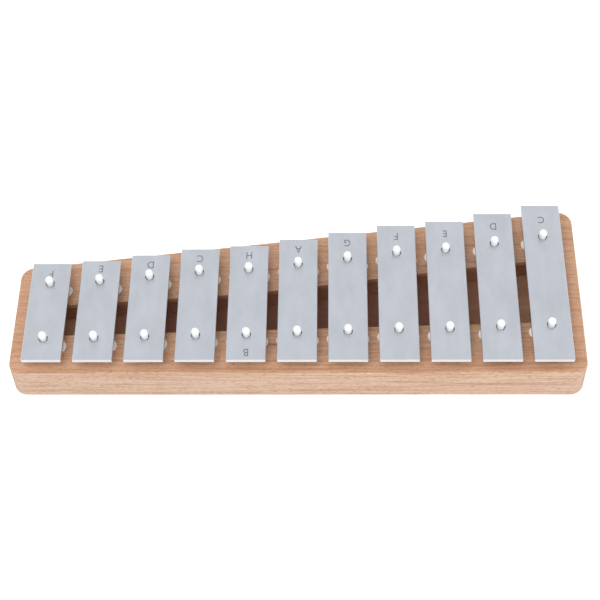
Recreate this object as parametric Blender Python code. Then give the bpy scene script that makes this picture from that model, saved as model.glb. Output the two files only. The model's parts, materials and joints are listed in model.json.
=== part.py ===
"""Diatonic soprano glockenspiel: eleven steel tone bars lying on a routed beech sound box.

X runs along the box towards the lowest note, Y from the front face towards the back, Z up.
The world origin is under the middle of the box, on the surface that it stands on. The pieces
are placed from the middle of the front face's foot, which the parent empty marks.
All sizes are in metres.
"""

import math

import bmesh
import bpy
from mathutils import Matrix, Vector

# Tuning: each bar's length follows from its note, as in any free bar of even section
LOWEST_NOTE_HZ = 1046.5
SEMITONES_PER_OCTAVE = 12
NOTES = (
    ("c", 0),
    ("d", 2),
    ("e", 4),
    ("f", 5),
    ("g", 7),
    ("a", 9),
    ("b", 11),
    ("high_c", 12),
    ("high_d", 14),
    ("high_e", 16),
    ("high_f", 17),
)
SOUND_SPEED_IN_STEEL = 5100.0
FREE_BAR_FACTOR = 1.028
REST_SHARE = 0.2142  # from a bar's end to its rest, as a share of its length: near its still point

# Tone bars
BAR_WIDTH = 0.025
BAR_THICKNESS = 0.003
BAR_SPACING = 0.007  # between the sides of neighbours
BAR_EDGE_BREAK = 0.00025

# Sound box
BOX_HEIGHT = 0.026
BOX_CORNER_RADIUS = 0.009
BOX_EDGE_RADIUS = 0.0015
END_MARGIN = 0.0095  # beyond the outer bars' sides
FRONT_MARGIN = 0.0039  # from the front face to the bars' near ends
BACK_MARGIN_LOW = 0.0006  # behind the lowest bar's far end
BACK_MARGIN_HIGH = 0.0061  # behind the highest bar's far end

# Slot in the box's top, and the chamber routed out beneath it
TOP_THICKNESS = 0.0036
SLOT_CORNER_RADIUS = 0.004
SLOT_BEYOND_AXIS = 0.003  # past the middle of the outer bars
PIN_TO_SLOT_FRONT = 0.0084
PIN_TO_SLOT_BACK_LOW = 0.0114
PIN_TO_SLOT_BACK_BEND = 0.0127
PIN_TO_SLOT_BACK_HIGH = 0.0112
BEND_BAR = 6  # the slot's back edge bends under this bar, counted from 0 at the lowest
CHAMBER_UNDERCUT = 0.0045
CHAMBER_CORNER_RADIUS = 0.0055

# Panel let into the box's underside
PANEL_THICKNESS = 0.003
PANEL_RECESS = 0.0006
PANEL_LIP = 0.004  # how far it laps onto the box round the chamber

# Bar rests: an oblong foot with a crowned seat that carries the bar at its still point
BAR_LIFT = 0.0066  # from the box's top to the bars' undersides
REST_OVERHANG = 0.00095  # of the foot past the bar's sides
REST_FOOT_WIDTH = 0.009
REST_FOOT_THICKNESS = 0.0012
REST_SEAT_INSET = 0.0034  # of the seat's ends inside the bar's sides
REST_SEAT_WIDTH = 0.0084
REST_SEAT_TAPER = 0.0003  # lost on each side from the seat's root to its shoulder
REST_CROWN_RISE = 0.0008
REST_CROWN_INSET = 0.0006

# Pins that hold the bars in place
PIN_SHAFT_DIAMETER = 0.0045
PIN_HEAD_DIAMETER = 0.0052
PIN_HEAD_LENGTH = 0.0046
PIN_NECK_LENGTH = 0.0012  # over which the shaft widens to the head
PIN_RISE = 0.0062  # of the head's top above the bars' tops
PIN_DEPTH = 0.0110  # in the box
PIN_TIP_CHAMFER = 0.0006
PIN_PLAY = 0.0004  # between the head and the hole in the bar, all round

# Clearance between pieces that seat on or fit into one another
SEAT_GAP = 0.0003

# Facets
BOX_CORNER_STEPS = 9
SLOT_CORNER_STEPS = 4
BOX_EDGE_STEPS = 3
BAR_HOLE_STEPS = 24
PIN_STEPS = 16
PIN_DOME_STEPS = 3
BORE_STEPS = 12
REST_END_STEPS = 8
CUTTER_OVERRUN = 0.002

BAR_PITCH = BAR_WIDTH + BAR_SPACING
ROW_LENGTH = BAR_PITCH * (len(NOTES) - 1)
BOX_LENGTH = ROW_LENGTH + BAR_WIDTH + 2 * END_MARGIN
BAR_UNDERSIDE = BOX_HEIGHT + BAR_LIFT
BAR_TOP = BAR_UNDERSIDE + BAR_THICKNESS
BAR_HOLE_DIAMETER = PIN_HEAD_DIAMETER + 2 * PIN_PLAY
BORE_DIAMETER = PIN_SHAFT_DIAMETER + 2 * SEAT_GAP


def note_frequency(semitones):
    return LOWEST_NOTE_HZ * 2 ** (semitones / SEMITONES_PER_OCTAVE)


def bar_length(bar):
    """The length at which a free steel bar of this thickness sounds its note."""
    frequency = note_frequency(NOTES[bar][1])
    return math.sqrt(FREE_BAR_FACTOR * SOUND_SPEED_IN_STEEL * BAR_THICKNESS / frequency)


def bar_x(bar):
    return ROW_LENGTH / 2 - bar * BAR_PITCH


def pin_front_y(bar):
    return FRONT_MARGIN + REST_SHARE * bar_length(bar)


def pin_back_y(bar):
    return FRONT_MARGIN + (1 - REST_SHARE) * bar_length(bar)


def pin_places():
    """(bar, side, x, y) of every pin, which its rest and its holes share."""
    for bar in range(len(NOTES)):
        yield bar, "front", bar_x(bar), pin_front_y(bar)
        yield bar, "back", bar_x(bar), pin_back_y(bar)


def line_y(x, start, end):
    """The height at x of the straight line through two points."""
    return start.y + (x - start.x) * (end.y - start.y) / (end.x - start.x)


def box_corners():
    low, high = 0, len(NOTES) - 1
    back_low = Vector((bar_x(low), FRONT_MARGIN + bar_length(low) + BACK_MARGIN_LOW))
    back_high = Vector((bar_x(high), FRONT_MARGIN + bar_length(high) + BACK_MARGIN_HIGH))
    right, left = BOX_LENGTH / 2, -BOX_LENGTH / 2
    return [
        Vector((left, 0)),
        Vector((right, 0)),
        Vector((right, line_y(right, back_high, back_low))),
        Vector((left, line_y(left, back_high, back_low))),
    ]


def slot_corners():
    """The slot follows the two rows of pins, and its back edge bends once."""
    low, high = 0, len(NOTES) - 1
    front_low = Vector((bar_x(low), pin_front_y(low) + PIN_TO_SLOT_FRONT))
    front_high = Vector((bar_x(high), pin_front_y(high) + PIN_TO_SLOT_FRONT))
    back_low = Vector((bar_x(low), pin_back_y(low) - PIN_TO_SLOT_BACK_LOW))
    bend = Vector((bar_x(BEND_BAR), pin_back_y(BEND_BAR) - PIN_TO_SLOT_BACK_BEND))
    back_high = Vector((bar_x(high), pin_back_y(high) - PIN_TO_SLOT_BACK_HIGH))
    right, left = bar_x(low) + SLOT_BEYOND_AXIS, bar_x(high) - SLOT_BEYOND_AXIS
    return [
        Vector((left, line_y(left, front_high, front_low))),
        Vector((right, line_y(right, front_high, front_low))),
        Vector((right, line_y(right, bend, back_low))),
        bend,
        Vector((left, line_y(left, bend, back_high))),
    ]


def grown(corners, distance):
    """The outline with every side moved outwards by the distance."""
    count = len(corners)
    moved = []
    for i, corner in enumerate(corners):
        into = (corner - corners[i - 1]).normalized()
        out = (corners[(i + 1) % count] - corner).normalized()
        normal_in = Vector((into.y, -into.x))
        normal_out = Vector((out.y, -out.x))
        moved.append(corner + (normal_in + normal_out) * distance / (1 + normal_in.dot(normal_out)))
    return moved


def rounded(corners, radius, steps):
    """The outline with an arc of the radius in place of each corner."""
    count = len(corners)
    points = []
    for i, corner in enumerate(corners):
        back = (corners[i - 1] - corner).normalized()
        ahead = (corners[(i + 1) % count] - corner).normalized()
        half = back.angle(ahead) / 2
        middle = (back + ahead).normalized()
        centre = corner + middle * radius / math.sin(half)
        start = corner + back * radius / math.tan(half) - centre
        sweep = start.angle_signed(corner + ahead * radius / math.tan(half) - centre)
        for step in range(steps + 1):
            points.append(centre + Matrix.Rotation(-sweep * step / steps, 2) @ start)
    return points


def new_object(name, mesh_maker, material, parent=None, location=(0, 0, 0)):
    """An object whose mesh the maker shapes, with its faces turned outwards."""
    shape = bmesh.new()
    mesh_maker(shape)
    bmesh.ops.recalc_face_normals(shape, faces=shape.faces)
    mesh = bpy.data.meshes.new(name)
    shape.to_mesh(mesh)
    shape.free()
    mesh.shade_smooth()
    mesh.set_sharp_from_angle(angle=math.radians(30))
    if material:
        mesh.materials.append(material)
    return placed(name, mesh, parent, location)


def placed(name, mesh, parent, location):
    piece = bpy.data.objects.new(name, mesh)
    bpy.context.scene.collection.objects.link(piece)
    piece.parent = parent
    piece.location = location
    return piece


def extrude_outline(shape, outline, bottom, top):
    """Fills the outline at the bottom height and raises it to the top."""
    ring = [shape.verts.new((point.x, point.y, bottom)) for point in outline]
    floor = shape.faces.new(ring)
    raised = bmesh.ops.extrude_face_region(shape, geom=[floor])["geom"]
    corners = [item for item in raised if isinstance(item, bmesh.types.BMVert)]
    bmesh.ops.translate(shape, verts=corners, vec=(0, 0, top - bottom))


def level_edges(shape, height):
    """The edges that lie at one height."""
    return [
        edge for edge in shape.edges if all(abs(vert.co.z - height) < 1e-7 for vert in edge.verts)
    ]


def ease(shape, edges, size, steps):
    bmesh.ops.bevel(
        shape,
        geom=edges,
        offset=size,
        offset_type="OFFSET",
        segments=steps,
        profile=0.5,
        affect="EDGES",
        clamp_overlap=True,
        material=-1,
    )


def turn_profile(shape, profile, steps):
    """Spins (radius, height) points round Z and closes the ends with flat caps."""
    line = [shape.verts.new((radius, 0, height)) for radius, height in profile]
    edges = [shape.edges.new(pair) for pair in zip(line, line[1:])]
    bmesh.ops.spin(
        shape,
        geom=line + edges,
        cent=(0, 0, 0),
        axis=(0, 0, 1),
        angle=2 * math.pi,
        steps=steps,
        use_merge=True,
        use_duplicate=False,
    )
    bmesh.ops.remove_doubles(shape, verts=shape.verts, dist=1e-6)
    open_edges = [edge for edge in shape.edges if edge.is_boundary]
    bmesh.ops.holes_fill(shape, edges=open_edges)


def upright_cylinder(shape, x, y, bottom, top, diameter, steps):
    bmesh.ops.create_cone(
        shape,
        cap_ends=True,
        segments=steps,
        radius1=diameter / 2,
        radius2=diameter / 2,
        depth=top - bottom,
        matrix=Matrix.Translation((x, y, (top + bottom) / 2)),
    )


def cut(piece, name, mesh_maker):
    """Takes a hidden cutter's shape out of a piece."""
    cutter = new_object(name, mesh_maker, None, piece.parent, piece.location)
    cutter.hide_render = True
    cutter.display_type = "WIRE"
    modifier = piece.modifiers.new(name, "BOOLEAN")
    modifier.operation = "DIFFERENCE"
    modifier.solver = "EXACT"
    modifier.object = cutter


def principled(name, colour, roughness, metallic=0.0):
    material = bpy.data.materials.new(name)
    material.use_nodes = True
    shader = material.node_tree.nodes["Principled BSDF"]
    shader.inputs["Base Color"].default_value = (*colour, 1)
    shader.inputs["Roughness"].default_value = roughness
    shader.inputs["Metallic"].default_value = metallic
    material.diffuse_color = (*colour, 1)
    return material


def make_sound_box(material, parent):
    """One beech board, shaped outside, slotted from above and routed out from below."""
    chamber_roof = BOX_HEIGHT - TOP_THICKNESS
    rebate_depth = PANEL_RECESS + PANEL_THICKNESS + SEAT_GAP

    def board(shape):
        outline = rounded(box_corners(), BOX_CORNER_RADIUS, BOX_CORNER_STEPS)
        extrude_outline(shape, outline, 0, BOX_HEIGHT)
        rims = level_edges(shape, 0) + level_edges(shape, BOX_HEIGHT)
        ease(shape, rims, BOX_EDGE_RADIUS, BOX_EDGE_STEPS)

    def slot(shape):
        outline = rounded(slot_corners(), SLOT_CORNER_RADIUS, SLOT_CORNER_STEPS)
        extrude_outline(shape, outline, chamber_roof - CUTTER_OVERRUN, BOX_HEIGHT + CUTTER_OVERRUN)

    def chamber(shape):
        corners = grown(slot_corners(), CHAMBER_UNDERCUT)
        outline = rounded(corners, CHAMBER_CORNER_RADIUS, SLOT_CORNER_STEPS)
        extrude_outline(shape, outline, -CUTTER_OVERRUN, chamber_roof)

    def rebate(shape):
        extrude_outline(shape, panel_outline(SEAT_GAP), -CUTTER_OVERRUN, rebate_depth)

    def bores(shape):
        for _, _, x, y in pin_places():
            floor = BOX_HEIGHT - PIN_DEPTH - SEAT_GAP
            top = BOX_HEIGHT + CUTTER_OVERRUN
            upright_cylinder(shape, x, y, floor, top, BORE_DIAMETER, BORE_STEPS)

    box = new_object("sound_box", board, material, parent)
    cut(box, "slot_cutter", slot)
    cut(box, "chamber_cutter", chamber)
    cut(box, "rebate_cutter", rebate)
    cut(box, "pin_bore_cutter", bores)
    return box


def panel_outline(clearance):
    lip = CHAMBER_UNDERCUT + PANEL_LIP + clearance
    radius = CHAMBER_CORNER_RADIUS + PANEL_LIP + clearance
    return rounded(grown(slot_corners(), lip), radius, SLOT_CORNER_STEPS)


def make_base_panel(material, parent):
    """The thin board that closes the chamber, let into the rebate."""

    def board(shape):
        extrude_outline(shape, panel_outline(0), PANEL_RECESS, PANEL_RECESS + PANEL_THICKNESS)

    return new_object("base_panel", board, material, parent)


def make_tone_bar(bar, material, parent):
    """A flat bar with its edges broken and a round hole over each rest."""
    length = bar_length(bar)
    name = f"tone_bar_{bar + 1:02d}_{NOTES[bar][0]}"
    reach = BAR_THICKNESS / 2 + CUTTER_OVERRUN
    rest_y = length * (0.5 - REST_SHARE)

    def plate(shape):
        bmesh.ops.create_cube(
            shape, size=1, matrix=Matrix.Diagonal((BAR_WIDTH, length, BAR_THICKNESS, 1))
        )
        ease(shape, shape.edges[:], BAR_EDGE_BREAK, 1)

    def holes(shape):
        for y in (-rest_y, rest_y):
            upright_cylinder(shape, 0, y, -reach, reach, BAR_HOLE_DIAMETER, BAR_HOLE_STEPS)

    centre = (bar_x(bar), FRONT_MARGIN + length / 2, BAR_UNDERSIDE + BAR_THICKNESS / 2)
    piece = new_object(name, plate, material, parent, centre)
    cut(piece, f"{name}_hole_cutter", holes)
    return piece


def stadium(length, width):
    """An oblong with fully round ends, along X about its middle."""
    radius = width / 2
    points = []
    for side in (1, -1):
        for step in range(REST_END_STEPS + 1):
            angle = math.pi * (step / REST_END_STEPS - side / 2)
            x = side * (length / 2 - radius) + radius * math.cos(angle)
            points.append(Vector((x, radius * math.sin(angle))))
    return points


def rest_shape(shape):
    """The foot, the tapered seat on it and the seat's crown, as one stack of oblong rings."""
    foot_length = BAR_WIDTH + 2 * REST_OVERHANG
    seat_length = BAR_WIDTH - 2 * REST_SEAT_INSET
    top = BAR_LIFT - SEAT_GAP
    taper, crown = REST_SEAT_TAPER, REST_SEAT_TAPER + REST_CROWN_INSET
    rings = (
        (foot_length, REST_FOOT_WIDTH, SEAT_GAP),
        (foot_length, REST_FOOT_WIDTH, REST_FOOT_THICKNESS),
        (seat_length, REST_SEAT_WIDTH, REST_FOOT_THICKNESS),
        (seat_length - 2 * taper, REST_SEAT_WIDTH - 2 * taper, top - REST_CROWN_RISE),
        (seat_length - 2 * crown, REST_SEAT_WIDTH - 2 * crown, top),
    )
    loops = []
    for length, width, height in rings:
        outline = stadium(length, width)
        loops.append([shape.verts.new((point.x, point.y, height)) for point in outline])
    for lower, upper in zip(loops, loops[1:]):
        for i in range(len(lower)):
            after = (i + 1) % len(lower)
            shape.faces.new((lower[i], lower[after], upper[after], upper[i]))
    shape.faces.new(reversed(loops[0]))
    shape.faces.new(loops[-1])


def rest_bore_shape(shape):
    top = BAR_LIFT + CUTTER_OVERRUN
    upright_cylinder(shape, 0, 0, -CUTTER_OVERRUN, top, BORE_DIAMETER, BORE_STEPS)


def make_bar_rest(name, x, y, material, parent):
    piece = new_object(name, rest_shape, material, parent, (x, y, BOX_HEIGHT))
    cut(piece, f"{name}_bore_cutter", rest_bore_shape)
    return piece


def pin_shape(shape):
    """A turned pin: chamfered tip, shaft, neck and a slightly wider head with a domed top."""
    shaft, head = PIN_SHAFT_DIAMETER / 2, PIN_HEAD_DIAMETER / 2
    tip = -PIN_DEPTH
    top = BAR_LIFT + BAR_THICKNESS + PIN_RISE
    dome_foot = top - head
    head_foot = top - PIN_HEAD_LENGTH
    profile = [
        (shaft - PIN_TIP_CHAMFER, tip),
        (shaft, tip + PIN_TIP_CHAMFER),
        (shaft, head_foot - PIN_NECK_LENGTH),
        (head, head_foot),
    ]
    for step in range(PIN_DOME_STEPS):
        angle = math.pi / 2 * step / PIN_DOME_STEPS
        profile.append((head * math.cos(angle), dome_foot + head * math.sin(angle)))
    profile.append((0, top))
    turn_profile(shape, profile, PIN_STEPS)


def make_pins_and_rests(pin_material, rest_material, parent):
    for bar, side, x, y in pin_places():
        label = f"{bar + 1:02d}_{side}"
        new_object(f"pin_{label}", pin_shape, pin_material, parent, (x, y, BOX_HEIGHT))
        make_bar_rest(f"bar_rest_{label}", x, y, rest_material, parent)


def make_glockenspiel():
    beech = principled("oiled_beech", (0.60, 0.40, 0.27), 0.5)
    plywood = principled("beech_plywood", (0.42, 0.26, 0.16), 0.65)
    steel = principled("satin_steel", (0.62, 0.63, 0.66), 0.38, 1.0)
    nylon = principled("white_nylon", (0.87, 0.87, 0.84), 0.35)
    elastomer = principled("white_elastomer", (0.80, 0.79, 0.76), 0.6)

    outline = rounded(box_corners(), BOX_CORNER_RADIUS, BOX_CORNER_STEPS)
    depth = max(point.y for point in outline)
    front_foot = placed("front_foot", None, None, (0, -depth / 2, 0))

    make_sound_box(beech, front_foot)
    make_base_panel(plywood, front_foot)
    make_pins_and_rests(nylon, elastomer, front_foot)
    for bar in range(len(NOTES)):
        make_tone_bar(bar, steel, front_foot)


for old in list(bpy.data.objects):
    bpy.data.objects.remove(old, do_unlink=True)
make_glockenspiel()
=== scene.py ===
"""Finished looks of a diatonic soprano glockenspiel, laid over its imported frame.

Everything is in metres, in the frame's own place. X runs towards the low notes, Y towards the
slanted side, Z up. Run as a script, it dresses every piece, lights the stage and sets the camera.
"""

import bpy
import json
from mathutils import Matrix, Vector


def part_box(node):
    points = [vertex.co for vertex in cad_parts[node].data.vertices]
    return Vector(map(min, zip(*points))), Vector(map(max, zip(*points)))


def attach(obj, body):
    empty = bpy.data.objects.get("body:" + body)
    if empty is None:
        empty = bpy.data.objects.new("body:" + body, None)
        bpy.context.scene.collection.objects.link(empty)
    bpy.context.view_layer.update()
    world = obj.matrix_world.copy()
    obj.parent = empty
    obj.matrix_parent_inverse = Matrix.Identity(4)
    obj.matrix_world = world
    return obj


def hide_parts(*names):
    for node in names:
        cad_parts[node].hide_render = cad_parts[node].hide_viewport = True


bl_info = {
    "name": "Soprano glockenspiel",
    "version": (1, 0, 0),
    "blender": (4, 5, 0),
    "location": "View3D > Sidebar > Glockenspiel",
    "description": "Finishes the wood, steel and plastic of an eleven-bar glockenspiel",
    "category": "Object",
}

import json
import math

import bmesh
import bpy
from bpy.props import FloatProperty, FloatVectorProperty, PointerProperty
from mathutils import Matrix, Vector
from mathutils.bvhtree import BVHTree

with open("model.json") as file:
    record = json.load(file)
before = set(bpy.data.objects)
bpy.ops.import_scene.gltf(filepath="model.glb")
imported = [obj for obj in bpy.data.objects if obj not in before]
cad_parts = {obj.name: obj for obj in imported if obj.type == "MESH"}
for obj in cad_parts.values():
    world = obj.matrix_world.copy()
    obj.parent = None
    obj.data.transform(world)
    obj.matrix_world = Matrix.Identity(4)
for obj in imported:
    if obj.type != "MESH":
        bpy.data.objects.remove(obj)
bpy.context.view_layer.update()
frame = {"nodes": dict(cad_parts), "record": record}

MM = 0.001
ROOT_BODY = "sound_box_body"

BARS = sorted(name for name in frame["nodes"] if name.startswith("tone_bar_"))
PINS = sorted(name for name in frame["nodes"] if name.startswith("pin_"))
RESTS = sorted(name for name in frame["nodes"] if name.startswith("bar_rest_"))

WELD_DISTANCE = 1e-6
FLAT_ANGLE = math.radians(0.5)  # between faces that are joined as one flat face
SMOOTH_ANGLE = math.radians(30)  # past which an edge is shaded sharp

# The mark on the faces of the sound box that a cutter left
ROUTED = "routed"
HAIR = 0.01 * MM  # how far off a face a look starts
EDGE_ZONE = 2 * MM  # height of the rounded edges' zone at the box's top and bottom
LEVEL = 0.5  # least rise or fall of the normal of a floor or a roof

# Figure of the beech, with sizes along X, which is the grain, Y and Z
BAND_LENGTH = 180 * MM
BAND_HEIGHT_SHARE = 1.6  # height of a growth band beside its width
TONE_SIZE = (90 * MM, 30 * MM, 30 * MM)  # slow drift of the colour along the board
LINE_SIZE = (50 * MM, 1.1 * MM, 1.1 * MM)  # fine lines between the growth bands
RING_SIZE = (50 * MM, 20 * MM, 1.4 * MM)  # growth rings on the ends, which lie flat
FIBRE_SIZE = (20 * MM, 0.4 * MM, 0.4 * MM)  # bundles, as one fibre of 0.02 mm wouldn't show
PORE_SIZE = (0.9 * MM, 0.9 * MM, 0.7 * MM)  # groups, as one pore of 0.06 mm wouldn't show
RAY_RELIEF = 0.08 * MM

# Figure of the plywood's face veneer
STREAK_SIZE = (120 * MM, 4 * MM, 4 * MM)
VENEER_RELIEF = 0.06 * MM
# Painted light: from here towards both ends the panel is painted paler, where more light reaches
# the chamber
PAINTED_END_LIGHT_START = 100 * MM  # from the middle of the panel, along X
PAINTED_END_LIGHT_FULL = 140 * MM

# Texture of the bars, which lie along Y
CLOUD_SIZE = (12 * MM, 30 * MM, 12 * MM)  # soft unevenness of the blasting
SCRATCH_SIZE = (0.4 * MM, 12 * MM, 10 * MM)  # drawn wide, as a real 0.05 mm wouldn't show
BLAST_RELIEF = 0.02 * MM

# Texture of the moulded plastics
SHADE_SIZE = (6 * MM, 6 * MM, 6 * MM)
MOULD_RELIEF = 0.02 * MM

# Sockets of the Mix node for colours, whose names are not unique
MIX_SHARE, MIX_BASE, MIX_TINT, MIXED = 0, 6, 7, 2

# The letter by each bar's far end, and its centre's distance from that end in mm. The seventh
# bar also has its other common letter by the near end.
FAR_LETTERS = (
    ("C", 12.3),
    ("D", 10.8),
    ("E", 10.3),
    ("F", 9.3),
    ("G", 8.7),
    ("A", 8.3),
    ("H", 7.9),
    ("C", 7.9),
    ("D", 8.0),
    ("E", 6.6),
    ("F", 8.4),
)
NEAR_LETTER = (6, "B", 5.35)  # the bar, counted from 0, the letter and its distance
LETTER_CURVE_STEPS = 6
STROKE_THICKENING = 0.004  # as a share of a letter's nominal size
LETTER_WELD = 1e-5  # in the same measure

# A pin's profile, with heights measured down from its top and insets from the head's radius
HEAD_WIDEST = 3.1 * MM
HEAD_START = 3.9 * MM
HEAD_START_INSET = 0.06 * MM
NECK_END = 5.0 * MM
SHAFT_END = 6.0 * MM
SHAFT_INSET = 0.35 * MM
TIP_CHAMFER = 0.6 * MM
DOME_HEIGHT = 2.6 * MM
DOME_STEPS = 9
PIN_SIDES = 32

# The stage. A strength of 1 is white.
FLOOR_DROP = 0.2 * MM  # of the floor below the box, so that the two don't share a plane
FLOOR_GLOW = 0.42  # white that the floor adds for the camera, on top of the light it gets
SURROUND_LIGHT = 0.62  # of the surround as light on the object
WHITE = (1, 1, 1)
LAMP_AIM = Vector((0, 0, 0.02))
LAMP_SIZE = 1.2
LAMPS = (  # name, place and power in watts
    ("soft_key", (-0.40, -0.75, 1.5), 14.0),
    ("front_fill", (1.2, -1.3, 0.6), 11.0),
    ("rear_fill", (-0.7, 1.3, 0.9), 6.0),
)


def linear(colour):
    """An sRGB hex value as linear red, green and blue."""
    parts = [(colour >> shift & 255) / 255 for shift in (16, 8, 0)]
    return [c / 12.92 if c <= 0.04045 else ((c + 0.055) / 1.055) ** 2.4 for c in parts]


def colour_property(name, description, colour):
    return FloatVectorProperty(
        name=name, description=description, subtype="COLOR", size=3, min=0, max=1,
        default=linear(colour),
    )


def length_property(name, description, size):
    return FloatProperty(
        name=name, description=description, default=size, unit="LENGTH", precision=5
    )


def angle_property(name, description, degrees):
    return FloatProperty(
        name=name, description=description, default=math.radians(degrees), subtype="ANGLE"
    )


# Settings


class WoodSettings(bpy.types.PropertyGroup):
    top: colour_property("Top", "Oiled beech on the box's top, along the grain", 0xD0A282)
    # Partly painted light: this paler side colour is partly the wood's own tone, partly the light
    # and sheen the front catches
    side: colour_property("Sides", "Oiled beech on the planed long sides", 0xCFB49E)
    end: colour_property("End grain", "Beech where the grain runs out at the ends", 0xC09A78)
    fleck: colour_property("Flecks", "The short dark rays of beech", 0x965F3A)
    # Painted shade: a darker colour than the top, for the faces inside the routed chamber
    inside: colour_property("Inside", "Bare routed beech in the sound chamber", 0xC08C70)
    panel: colour_property("Panel", "Face veneer of the plywood base panel", 0xB68472)
    # Painted light: a paler colour at both ends of the panel, where more light reaches the
    # chamber's ends
    painted_end_light: colour_property("Panel sapwood", "The veneer's paler wood at both ends", 0xE6B795)
    fleck_length: length_property("Fleck length", "Length of a ray along the grain", 3.2 * MM)
    # A real ray is about 0.2 mm wide, too fine to show, so it is drawn wider
    fleck_width: length_property("Fleck width", "Width of a ray across the grain", 0.5 * MM)
    band_width: length_property("Band width", "Spacing of the growth bands", 5.0 * MM)


class SteelSettings(bpy.types.PropertyGroup):
    face: colour_property("Face", "Satin nickel plate on the bars' tops", 0xC8CCD4)
    # Painted reflection: this brighter colour on the bars' sides and ends stands for the white
    # floor they mirror
    edge: colour_property("Edge", "Brighter ground sides and ends of the bars", 0xD2D4D8)
    letter: colour_property("Letters", "Floor of the stamped note letters", 0x80838B)
    letter_height: length_property("Letter height", "Height of a note letter", 5.5 * MM)
    letter_narrowing: FloatProperty(
        name="Letter narrowing", description="Width of a letter beside the common one",
        default=0.82, min=0, max=1, subtype="FACTOR",
    )
    letter_thickness: length_property("Letter thickness", "How proud a letter lies", 0.03 * MM)
    # A glass bead leaves a dent of about 0.1 mm, too fine to show, so it is drawn coarser
    grain: length_property("Blast grain", "Size of the dents that the blasting leaves", 0.35 * MM)


class PlasticSettings(bpy.types.PropertyGroup):
    pin: colour_property("Pins", "White nylon of the pins", 0xF8FAFA)
    rest: colour_property("Rests", "White elastomer of the bar rests", 0xFAF9F6)
    head_swell: length_property("Head swell", "How far the head swells past its neck", 0.25 * MM)
    # A spark-eroded mould's grain is about 0.1 mm, too fine to show, so it is drawn coarser
    mould_grain: length_property("Mould grain", "Size of the spots left by the mould", 0.6 * MM)


class StageSettings(bpy.types.PropertyGroup):
    floor: colour_property("Floor", "Plain pale paper under the object", 0xF7F7F7)
    floor_size: length_property("Floor size", "Side of the square floor", 6.0)
    lens: FloatProperty(
        name="Lens", description="Focal length on a 36 mm sensor",
        default=92.72, subtype="DISTANCE_CAMERA",
    )
    camera_place: FloatVectorProperty(
        name="Camera place", description="Where the camera stands", subtype="TRANSLATION",
        unit="LENGTH", default=(0.02224, -0.58955, 0.83721),
    )
    camera_pitch: angle_property("Pitch", "How far the camera looks down", 54.347)
    camera_yaw: angle_property("Yaw", "How far the camera turns from straight ahead", -2.07)
    camera_roll: angle_property("Roll", "How far the camera tips sideways", -1.78)


# Meshes


def weld(shape):
    bmesh.ops.remove_doubles(shape, verts=shape.verts, dist=WELD_DISTANCE)
    bmesh.ops.recalc_face_normals(shape, faces=shape.faces)


def finish_piece(name, shape, material, slot, body, *nodes):
    """Turns a bmesh into a smooth-shaded piece that rides on a body and stands for frame nodes."""
    mesh = bpy.data.meshes.new(name)
    shape.to_mesh(mesh)
    shape.free()
    mesh.materials.append(material)
    mesh.shade_smooth()
    mesh.set_sharp_from_angle(angle=SMOOTH_ANGLE)
    piece = bpy.data.objects.new(name, mesh)
    bpy.context.scene.collection.objects.link(piece)
    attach(piece, body)
    if nodes:
        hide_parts(*nodes)


def frame_shape(node):
    """A welded copy of a frame node's mesh, with its flat faces joined up."""
    shape = bmesh.new()
    shape.from_mesh(frame["nodes"][node].data)
    weld(shape)
    bmesh.ops.dissolve_limit(
        shape, angle_limit=FLAT_ANGLE, verts=shape.verts, edges=shape.edges,
        use_dissolve_boundaries=False,
    )
    return shape


def body_of(node):
    return next(b for b, nodes in frame["record"]["behaviour"]["bodies"].items() if node in nodes)


# What materials are made of


def new_material(name):
    material = bpy.data.materials.new(name)
    material.use_nodes = True
    material.node_tree.nodes.clear()
    return material, material.node_tree


def add_node(tree, kind, inputs=None, **settings):
    """Adds a node with its settings. An input is another node's output or a plain value, which
    is linear red, green and blue for a colour."""
    node = tree.nodes.new(kind)
    for name, value in settings.items():
        setattr(node, name, value)
    for key, value in (inputs or {}).items():
        socket = node.inputs[key]
        if isinstance(value, bpy.types.NodeSocket):
            tree.links.new(value, socket)
        elif socket.type == "RGBA":
            socket.default_value = (*value, 1)
        else:
            socket.default_value = value
    return node


def pattern(tree, size, detail, roughness, distortion=0.0):
    """An uneven pattern whose grains have a size along X, Y and Z."""
    place = add_node(tree, "ShaderNodeTexCoord")
    scaled = add_node(
        tree, "ShaderNodeMapping",
        {"Vector": place.outputs["Object"], "Scale": [1 / side for side in size]},
    )
    noise = add_node(
        tree, "ShaderNodeTexNoise",
        {
            "Vector": scaled.outputs["Vector"],
            "Scale": 1.0,
            "Detail": detail,
            "Roughness": roughness,
            "Distortion": distortion,
        },
    )
    return noise.outputs["Fac"]


def beech_rays(tree, settings):
    """The short flecks of beech, which lie along the grain."""
    size = (settings.fleck_length, settings.fleck_width, settings.fleck_width)
    return pattern(tree, size, detail=1.0, roughness=0.4)


def reach(tree, vector, axis):
    """How far a vector goes along an axis, either way."""
    parts = add_node(tree, "ShaderNodeSeparateXYZ", {"Vector": vector})
    size = add_node(tree, "ShaderNodeMath", {0: parts.outputs[axis]}, operation="ABSOLUTE")
    return size.outputs["Value"]


def tinted(tree, base, tint, where, start, full, most=1.0):
    """Lays a tint over a base colour: none where a value is at start or less, most from full on."""
    share = add_node(
        tree, "ShaderNodeMapRange",
        {"Value": where, "From Min": start, "From Max": full, "To Min": 0.0, "To Max": most},
    )
    mixed = add_node(
        tree, "ShaderNodeMix",
        {MIX_SHARE: share.outputs["Result"], MIX_BASE: base, MIX_TINT: tint},
        data_type="RGBA",
    )
    return mixed.outputs[MIXED]


def darkened(colour, share):
    """A plain colour with a share of its light taken away."""
    return [channel * (1 - share) for channel in colour]


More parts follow.
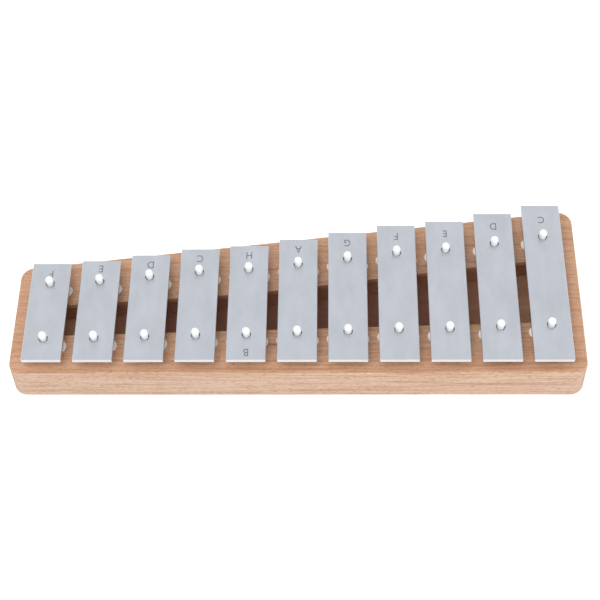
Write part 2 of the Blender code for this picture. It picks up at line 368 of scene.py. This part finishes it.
def close_surface(tree, colour, roughness, relief, depth, strength, **sockets):
    """Ends a material with its colour, its roughness and a relief of a real depth."""
    bump = add_node(
        tree, "ShaderNodeBump", {"Height": relief, "Distance": depth, "Strength": strength}
    )
    normal = bump.outputs["Normal"]
    shader = add_node(
        tree, "ShaderNodeBsdfPrincipled",
        {"Base Color": colour, "Roughness": roughness, "Normal": normal, **sockets},
    )
    add_node(tree, "ShaderNodeOutputMaterial", {"Surface": shader.outputs["BSDF"]})


# Finishes


def oiled_beech(settings):
    """Steamed beech, planed, sanded and oiled: pinkish tan with short dark rays along the grain
    and faint growth bands. The ends show darker end grain. The long sides are paler, partly their
    own tone and partly painted light from the front. The routed inside, left bare, is painted
    darker: painted shade in the recess."""
    material, tree = new_material("oiled_beech")
    band_size = (BAND_LENGTH, settings.band_width, settings.band_width * BAND_HEIGHT_SHARE)
    bands = pattern(tree, band_size, detail=3.0, roughness=0.55, distortion=0.4)
    tone = pattern(tree, TONE_SIZE, detail=2.0, roughness=0.5)
    rays = beech_rays(tree, settings)
    fibres = pattern(tree, FIBRE_SIZE, detail=2.0, roughness=0.6)
    lines = pattern(tree, LINE_SIZE, detail=2.0, roughness=0.6, distortion=0.35)
    rings = pattern(tree, RING_SIZE, detail=2.0, roughness=0.55, distortion=0.6)
    pores = pattern(tree, PORE_SIZE, detail=1.0, roughness=0.5)
    normal = add_node(tree, "ShaderNodeNewGeometry").outputs["Normal"]
    top, side, end, fleck = settings.top, settings.side, settings.end, settings.fleck

    # The long sides are paler: partly their own tone, partly painted light and sheen from the front
    planed = tinted(tree, top, side, reach(tree, normal, "Y"), start=0.5, full=0.8)
    late_wood = Vector(side).lerp(Vector(fleck), 0.30)
    banded = tinted(tree, planed, late_wood, bands, start=0.35, full=0.75, most=0.28)
    toned = tinted(tree, banded, top, tone, start=0.3, full=0.8, most=0.30)
    lined = tinted(tree, toned, fleck, lines, start=0.46, full=0.66, most=0.48)
    fibred = tinted(tree, lined, fleck, fibres, start=0.42, full=0.8, most=0.24)
    rayed = tinted(tree, fibred, fleck, rays, start=0.55, full=0.66, most=0.50)

    ringed = tinted(tree, end, fleck, rings, start=0.42, full=0.66, most=0.45)
    end_grain = tinted(tree, ringed, fleck, pores, start=0.45, full=0.7, most=0.30)
    outside = tinted(tree, rayed, end_grain, reach(tree, normal, "X"), start=0.6, full=0.85)

    # The routed faces inside the chamber are painted darker: painted shade in the recess
    bare = tinted(tree, settings.inside, fleck, rays, start=0.60, full=0.72, most=0.35)
    routed = add_node(tree, "ShaderNodeAttribute", attribute_name=ROUTED)
    colour = tinted(tree, outside, bare, routed.outputs["Fac"], start=0.0, full=1.0)

    roughness = add_node(
        tree, "ShaderNodeMapRange",
        {"Value": fibres, "From Min": 0.3, "From Max": 0.8, "To Min": 0.42, "To Max": 0.56},
    )
    close_surface(tree, colour, roughness.outputs["Result"], rays, RAY_RELIEF, strength=0.5)
    return material


def beech_plywood(settings):
    """Thin beech plywood, sanded and left bare: brown heartwood veneer with long soft streaks,
    painted paler towards both ends, a painted light where more light reaches the chamber's ends."""
    material, tree = new_material("beech_plywood")
    streaks = pattern(tree, STREAK_SIZE, detail=3.0, roughness=0.6, distortion=0.3)
    rays = beech_rays(tree, settings)
    place = add_node(tree, "ShaderNodeTexCoord").outputs["Object"]
    # Towards both ends the panel is painted paler: painted light
    veneer = tinted(
        tree, settings.panel, settings.painted_end_light, reach(tree, place, "X"),
        start=PAINTED_END_LIGHT_START, full=PAINTED_END_LIGHT_FULL,
    )
    streaked = tinted(tree, veneer, settings.fleck, streaks, start=0.3, full=0.75, most=0.4)
    colour = tinted(tree, streaked, settings.fleck, rays, start=0.6, full=0.72, most=0.3)
    roughness = add_node(
        tree, "ShaderNodeMapRange",
        {"Value": streaks, "From Min": 0.3, "From Max": 0.8, "To Min": 0.6, "To Max": 0.72},
    )
    close_surface(tree, colour, roughness.outputs["Result"], rays, VENEER_RELIEF, strength=0.5)
    return material


def satin_nickel(settings):
    """Steel bar, ground, blasted with fine glass beads and nickel plated: an even grey sheen with
    a soft reflection. The sawn sides and ends are painted brighter, a painted reflection of the
    white floor."""
    material, tree = new_material("satin_nickel_plated_steel")
    dents = pattern(tree, (settings.grain,) * 3, detail=2.0, roughness=0.6)
    cloud = pattern(tree, CLOUD_SIZE, detail=4.0, roughness=0.65)
    scratches = pattern(tree, SCRATCH_SIZE, detail=1.0, roughness=0.5)
    normal = add_node(tree, "ShaderNodeNewGeometry").outputs["Normal"]
    face, edge = settings.face, settings.edge

    clouded = tinted(tree, face, darkened(face, 0.12), cloud, start=0.35, full=0.7, most=0.9)
    scratched = tinted(tree, clouded, edge, scratches, start=0.66, full=0.78, most=0.25)
    # Sides and ends get the brighter colour: a painted reflection of the white floor
    colour = tinted(tree, edge, scratched, reach(tree, normal, "Z"), start=0.5, full=0.8)
    roughness = add_node(
        tree, "ShaderNodeMapRange",
        {"Value": cloud, "From Min": 0.3, "From Max": 0.75, "To Min": 0.30, "To Max": 0.37},
    )
    close_surface(
        tree, colour, roughness.outputs["Result"], dents, BLAST_RELIEF, strength=0.35,
        Metallic=1.0,
    )
    return material


def stamped_floor(settings):
    """The punched floor of a letter in nickel plate: the same metal, left darker and duller."""
    material, tree = new_material("stamped_nickel")
    dents = pattern(tree, (settings.grain,) * 3, detail=2.0, roughness=0.6)
    dark = darkened(settings.letter, 0.25)
    colour = tinted(tree, settings.letter, dark, dents, start=0.35, full=0.7, most=0.6)
    close_surface(tree, colour, 0.5, dents, BLAST_RELIEF, strength=0.4, Metallic=0.6)
    return material


def moulded_plastic(name, colour, settings, smoothest, roughest):
    """Injection-moulded white plastic: nearly even, with a faint spark-eroded grain that breaks
    up the highlight."""
    material, tree = new_material(name)
    spots = pattern(tree, (settings.mould_grain,) * 3, detail=2.0, roughness=0.5)
    shade = pattern(tree, SHADE_SIZE, detail=2.0, roughness=0.5)
    shaded = tinted(tree, colour, darkened(colour, 0.1), shade, start=0.35, full=0.7, most=0.5)
    roughness = add_node(
        tree, "ShaderNodeMapRange",
        {
            "Value": spots,
            "From Min": 0.3,
            "From Max": 0.7,
            "To Min": smoothest,
            "To Max": roughest,
        },
    )
    close_surface(tree, shaded, roughness.outputs["Result"], spots, MOULD_RELIEF, strength=0.3)
    return material


# Pieces


def mark_routed(shape, bottom, top):
    """Marks the faces that a cutter left: those that look at another wall, roofs above the
    bottom and floors below the top."""
    marks = shape.faces.layers.float.new(ROUTED)
    walls = BVHTree.FromBMesh(shape)
    for face in shape.faces:
        start = face.calc_center_median() + face.normal * HAIR
        across = walls.ray_cast(start, face.normal)[0] is not None
        roof = face.normal.z < -LEVEL and start.z > bottom
        floor = face.normal.z > LEVEL and start.z < top
        face[marks] = float(across or roof or floor)


class GLOCK_OT_sound_box(bpy.types.Operator):
    """Finish the slotted beech sound box and its plywood base panel"""

    bl_idname = "glockenspiel.sound_box"
    bl_label = "Sound box"

    def execute(self, context):
        settings = context.scene.glock_wood
        beech = oiled_beech(settings)
        shape = frame_shape("sound_box")
        low, high = (Vector(corner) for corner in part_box("sound_box"))
        mark_routed(shape, low.z + EDGE_ZONE, high.z - EDGE_ZONE)
        finish_piece("beech_sound_box", shape, beech, "oiled_beech", ROOT_BODY, "sound_box")
        plywood = beech_plywood(settings)
        for slot in frame["nodes"]["base_panel"].material_slots:
            slot.material = plywood
        return {"FINISHED"}


class GLOCK_OT_tone_bars(bpy.types.Operator):
    """Finish the eleven tone bars"""

    bl_idname = "glockenspiel.tone_bars"
    bl_label = "Tone bars"

    def execute(self, context):
        steel = satin_nickel(context.scene.glock_steel)
        for node in BARS:
            shape = frame_shape(node)
            finish_piece(f"plated_{node}", shape, steel, "satin_steel", body_of(node), node)
        return {"FINISHED"}


def letter_shape(letter, settings, centre):
    """A flat letter of the set height, read from the far side, with its middle at the centre."""
    curve = bpy.data.curves.new("letter", "FONT")
    curve.body = letter
    curve.resolution_u = LETTER_CURVE_STEPS
    curve.offset = STROKE_THICKENING
    text = bpy.data.objects.new("letter", curve)
    shape = bmesh.new()
    shape.from_mesh(text.to_mesh())
    text.to_mesh_clear()
    bpy.data.objects.remove(text)
    bmesh.ops.remove_doubles(shape, verts=shape.verts, dist=LETTER_WELD)
    xs = [vert.co.x for vert in shape.verts]
    ys = [vert.co.y for vert in shape.verts]
    middle = Vector(((min(xs) + max(xs)) / 2, (min(ys) + max(ys)) / 2, 0))
    scale = settings.letter_height / (max(ys) - min(ys))
    size = Matrix.Diagonal((scale * settings.letter_narrowing, scale, scale, 1))
    place = Matrix.Translation(centre) @ Matrix.Rotation(math.pi, 4, "Z")
    bmesh.ops.transform(
        shape, matrix=place @ size @ Matrix.Translation(-middle), verts=shape.verts
    )
    raised = bmesh.ops.extrude_face_region(shape, geom=shape.faces[:])["geom"]
    top = [item for item in raised if isinstance(item, bmesh.types.BMVert)]
    bmesh.ops.translate(shape, verts=top, vec=(0, 0, settings.letter_thickness))
    weld(shape)
    return shape


class GLOCK_OT_note_letters(bpy.types.Operator):
    """Add each bar's note letter by its far end"""

    bl_idname = "glockenspiel.note_letters"
    bl_label = "Note letters"

    def execute(self, context):
        settings = context.scene.glock_steel
        dark = stamped_floor(settings)
        places = [(bar, letter, away, "far") for bar, (letter, away) in enumerate(FAR_LETTERS)]
        places.append((*NEAR_LETTER, "near"))
        for bar, letter, away, end in places:
            node = BARS[bar]
            low, high = (Vector(corner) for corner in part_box(node))
            y = high.y - away * MM if end == "far" else low.y + away * MM
            shape = letter_shape(letter, settings, Vector(((low.x + high.x) / 2, y, high.z)))
            name = f"note_{bar + 1:02d}_{end}"
            finish_piece(name, shape, dark, "satin_steel", body_of(node))
        return {"FINISHED"}


def pin_shape(low, high, swell):
    """A turned pin inside its node's box: chamfered tip, straight shaft, waisted neck, dome."""
    head = (high.x - low.x) / 2
    shaft, neck = head - SHAFT_INSET, head - swell
    profile = [
        (0, low.z),
        (shaft - TIP_CHAMFER, low.z),
        (shaft, low.z + TIP_CHAMFER),
        (shaft, high.z - SHAFT_END),
        (neck, high.z - NECK_END),
        (head - HEAD_START_INSET, high.z - HEAD_START),
        (head, high.z - HEAD_WIDEST),
    ]
    for step in range(1, DOME_STEPS):
        angle = math.pi / 2 * step / DOME_STEPS
        height = high.z - DOME_HEIGHT + DOME_HEIGHT * math.sin(angle)
        profile.append((head * math.cos(angle), height))
    profile.append((0, high.z))
    shape = bmesh.new()
    line = [shape.verts.new((radius, 0, height)) for radius, height in profile]
    edges = [shape.edges.new(pair) for pair in zip(line, line[1:])]
    bmesh.ops.spin(
        shape, geom=line + edges, cent=(0, 0, 0), axis=(0, 0, 1), angle=2 * math.pi,
        steps=PIN_SIDES, use_merge=True, use_duplicate=False,
    )
    weld(shape)
    middle = (low + high) / 2
    bmesh.ops.translate(shape, verts=shape.verts, vec=(middle.x, middle.y, 0))
    return shape


class GLOCK_OT_pins(bpy.types.Operator):
    """Turn the domed white pins that hold the bars"""

    bl_idname = "glockenspiel.pins"
    bl_label = "Pins"

    def execute(self, context):
        settings = context.scene.glock_plastic
        nylon = moulded_plastic(
            "white_nylon", settings.pin, settings, smoothest=0.31, roughest=0.43
        )
        for node in PINS:
            low, high = (Vector(corner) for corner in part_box(node))
            shape = pin_shape(low, high, settings.head_swell)
            finish_piece(f"nylon_{node}", shape, nylon, "white_nylon", ROOT_BODY, node)
        return {"FINISHED"}


class GLOCK_OT_rests(bpy.types.Operator):
    """Finish the white rests under the bars"""

    bl_idname = "glockenspiel.rests"
    bl_label = "Bar rests"

    def execute(self, context):
        settings = context.scene.glock_plastic
        elastomer = moulded_plastic(
            "white_elastomer", settings.rest, settings, smoothest=0.50, roughest=0.62
        )
        for node in RESTS:
            shape = frame_shape(node)
            finish_piece(f"moulded_{node}", shape, elastomer, "white_elastomer", ROOT_BODY, node)
        return {"FINISHED"}


# Stage


def seen_directly(tree):
    """1 for rays from the camera, and for those in a reflection or through glass."""
    rays = add_node(tree, "ShaderNodeLightPath")
    camera, glossy, through = (
        rays.outputs[name] for name in ("Is Camera Ray", "Is Glossy Ray", "Is Transmission Ray")
    )
    first = add_node(tree, "ShaderNodeMath", {0: camera, 1: glossy}, operation="MAXIMUM")
    both = add_node(
        tree, "ShaderNodeMath", {0: first.outputs["Value"], 1: through}, operation="MAXIMUM"
    )
    return both.outputs["Value"]


def lay_floor(settings):
    """Matt white paper that takes the object's shadow and looks white to the camera."""
    shape = bmesh.new()
    bmesh.ops.create_grid(shape, x_segments=1, y_segments=1, size=settings.floor_size / 2)
    bmesh.ops.translate(shape, verts=shape.verts, vec=(0, 0, -FLOOR_DROP))
    mesh = bpy.data.meshes.new("paper_floor")
    shape.to_mesh(mesh)
    shape.free()
    floor = bpy.data.objects.new("paper_floor", mesh)
    bpy.context.scene.collection.objects.link(floor)
    material, tree = new_material("matt_white_paper")
    paper = add_node(tree, "ShaderNodeBsdfDiffuse", {"Color": settings.floor})
    glow = add_node(
        tree, "ShaderNodeMath", {0: seen_directly(tree), 1: FLOOR_GLOW}, operation="MULTIPLY"
    )
    light = add_node(tree, "ShaderNodeEmission", {"Strength": glow.outputs["Value"]})
    both = add_node(
        tree, "ShaderNodeAddShader", {0: paper.outputs["BSDF"], 1: light.outputs["Emission"]}
    )
    add_node(tree, "ShaderNodeOutputMaterial", {"Surface": both.outputs["Shader"]})
    mesh.materials.append(material)


def set_surround():
    """A surround that looks white and lights the object less than white would."""
    world = bpy.data.worlds.new("studio_white")
    world.use_nodes = True
    tree = world.node_tree
    tree.nodes.clear()
    soft = add_node(tree, "ShaderNodeBackground", {"Color": WHITE, "Strength": SURROUND_LIGHT})
    white = add_node(tree, "ShaderNodeBackground", {"Color": WHITE, "Strength": 1.0})
    mixed = add_node(
        tree, "ShaderNodeMixShader",
        {0: seen_directly(tree), 1: soft.outputs["Background"], 2: white.outputs["Background"]},
    )
    add_node(tree, "ShaderNodeOutputWorld", {"Surface": mixed.outputs["Shader"]})
    bpy.context.scene.world = world


def add_lamp(name, place, power):
    """A square soft lamp aimed at the object's middle. Metal mirrors the white surround alone."""
    light = bpy.data.lights.new(name, "AREA")
    light.shape = "SQUARE"
    light.size = LAMP_SIZE
    light.energy = power
    holder = bpy.data.objects.new(name, light)
    holder.visible_glossy = False
    bpy.context.scene.collection.objects.link(holder)
    turn = (LAMP_AIM - Vector(place)).to_track_quat("-Z", "Y")
    holder.matrix_world = Matrix.Translation(place) @ turn.to_matrix().to_4x4()


def set_camera(settings):
    """Places the camera by how far it looks down, turns and tips."""
    data = bpy.data.cameras.new("camera")
    data.lens = settings.lens
    camera = bpy.data.objects.new("camera", data)
    bpy.context.scene.collection.objects.link(camera)
    pitch, yaw, roll = settings.camera_pitch, settings.camera_yaw, settings.camera_roll
    level_ahead = Vector((math.sin(yaw), math.cos(yaw), 0))
    ahead = level_ahead * math.cos(pitch) - Vector((0, 0, math.sin(pitch)))
    level = Vector((math.cos(yaw), -math.sin(yaw), 0))
    upright = level.cross(ahead)
    right = level * math.cos(roll) + upright * math.sin(roll)
    up = upright * math.cos(roll) - level * math.sin(roll)
    turn = Matrix((right, up, -ahead)).transposed()
    camera.matrix_world = Matrix.Translation(settings.camera_place) @ turn.to_4x4()
    bpy.context.scene.camera = camera


class GLOCK_OT_stage(bpy.types.Operator):
    """Lay the pale floor, set the lamps and the white surround, and place the camera"""

    bl_idname = "glockenspiel.stage"
    bl_label = "Stage"

    def execute(self, context):
        settings = context.scene.glock_stage
        context.scene.view_settings.view_transform = "Standard"
        lay_floor(settings)
        set_surround()
        for name, place, power in LAMPS:
            add_lamp(name, place, power)
        set_camera(settings)
        return {"FINISHED"}


class GLOCK_PT_sidebar(bpy.types.Panel):
    """Lists the pieces and their settings"""

    bl_idname = "GLOCK_PT_sidebar"
    bl_label = "Glockenspiel"
    bl_space_type = "VIEW_3D"
    bl_region_type = "UI"
    bl_category = "Glockenspiel"

    def draw(self, context):
        for operator in OPERATORS:
            self.layout.operator(operator.bl_idname)
        for name, group in SETTINGS.items():
            column = self.layout.column(align=True)
            for key in group.__annotations__:
                column.prop(getattr(context.scene, name), key)


OPERATORS = (
    GLOCK_OT_sound_box,
    GLOCK_OT_tone_bars,
    GLOCK_OT_note_letters,
    GLOCK_OT_pins,
    GLOCK_OT_rests,
    GLOCK_OT_stage,
)
SETTINGS = {
    "glock_wood": WoodSettings,
    "glock_steel": SteelSettings,
    "glock_plastic": PlasticSettings,
    "glock_stage": StageSettings,
}


def register():
    for group in SETTINGS.values():
        bpy.utils.register_class(group)
    for name, group in SETTINGS.items():
        setattr(bpy.types.Scene, name, PointerProperty(type=group))
    for operator in OPERATORS:
        bpy.utils.register_class(operator)
    bpy.utils.register_class(GLOCK_PT_sidebar)


def unregister():
    bpy.utils.unregister_class(GLOCK_PT_sidebar)
    for operator in reversed(OPERATORS):
        bpy.utils.unregister_class(operator)
    for name in SETTINGS:
        delattr(bpy.types.Scene, name)
    for group in reversed(SETTINGS.values()):
        bpy.utils.unregister_class(group)


def main():
    register()
    bpy.ops.glockenspiel.sound_box()
    bpy.ops.glockenspiel.tone_bars()
    bpy.ops.glockenspiel.note_letters()
    bpy.ops.glockenspiel.pins()
    bpy.ops.glockenspiel.rests()
    bpy.ops.glockenspiel.stage()


if __name__ == "__main__":
    main()
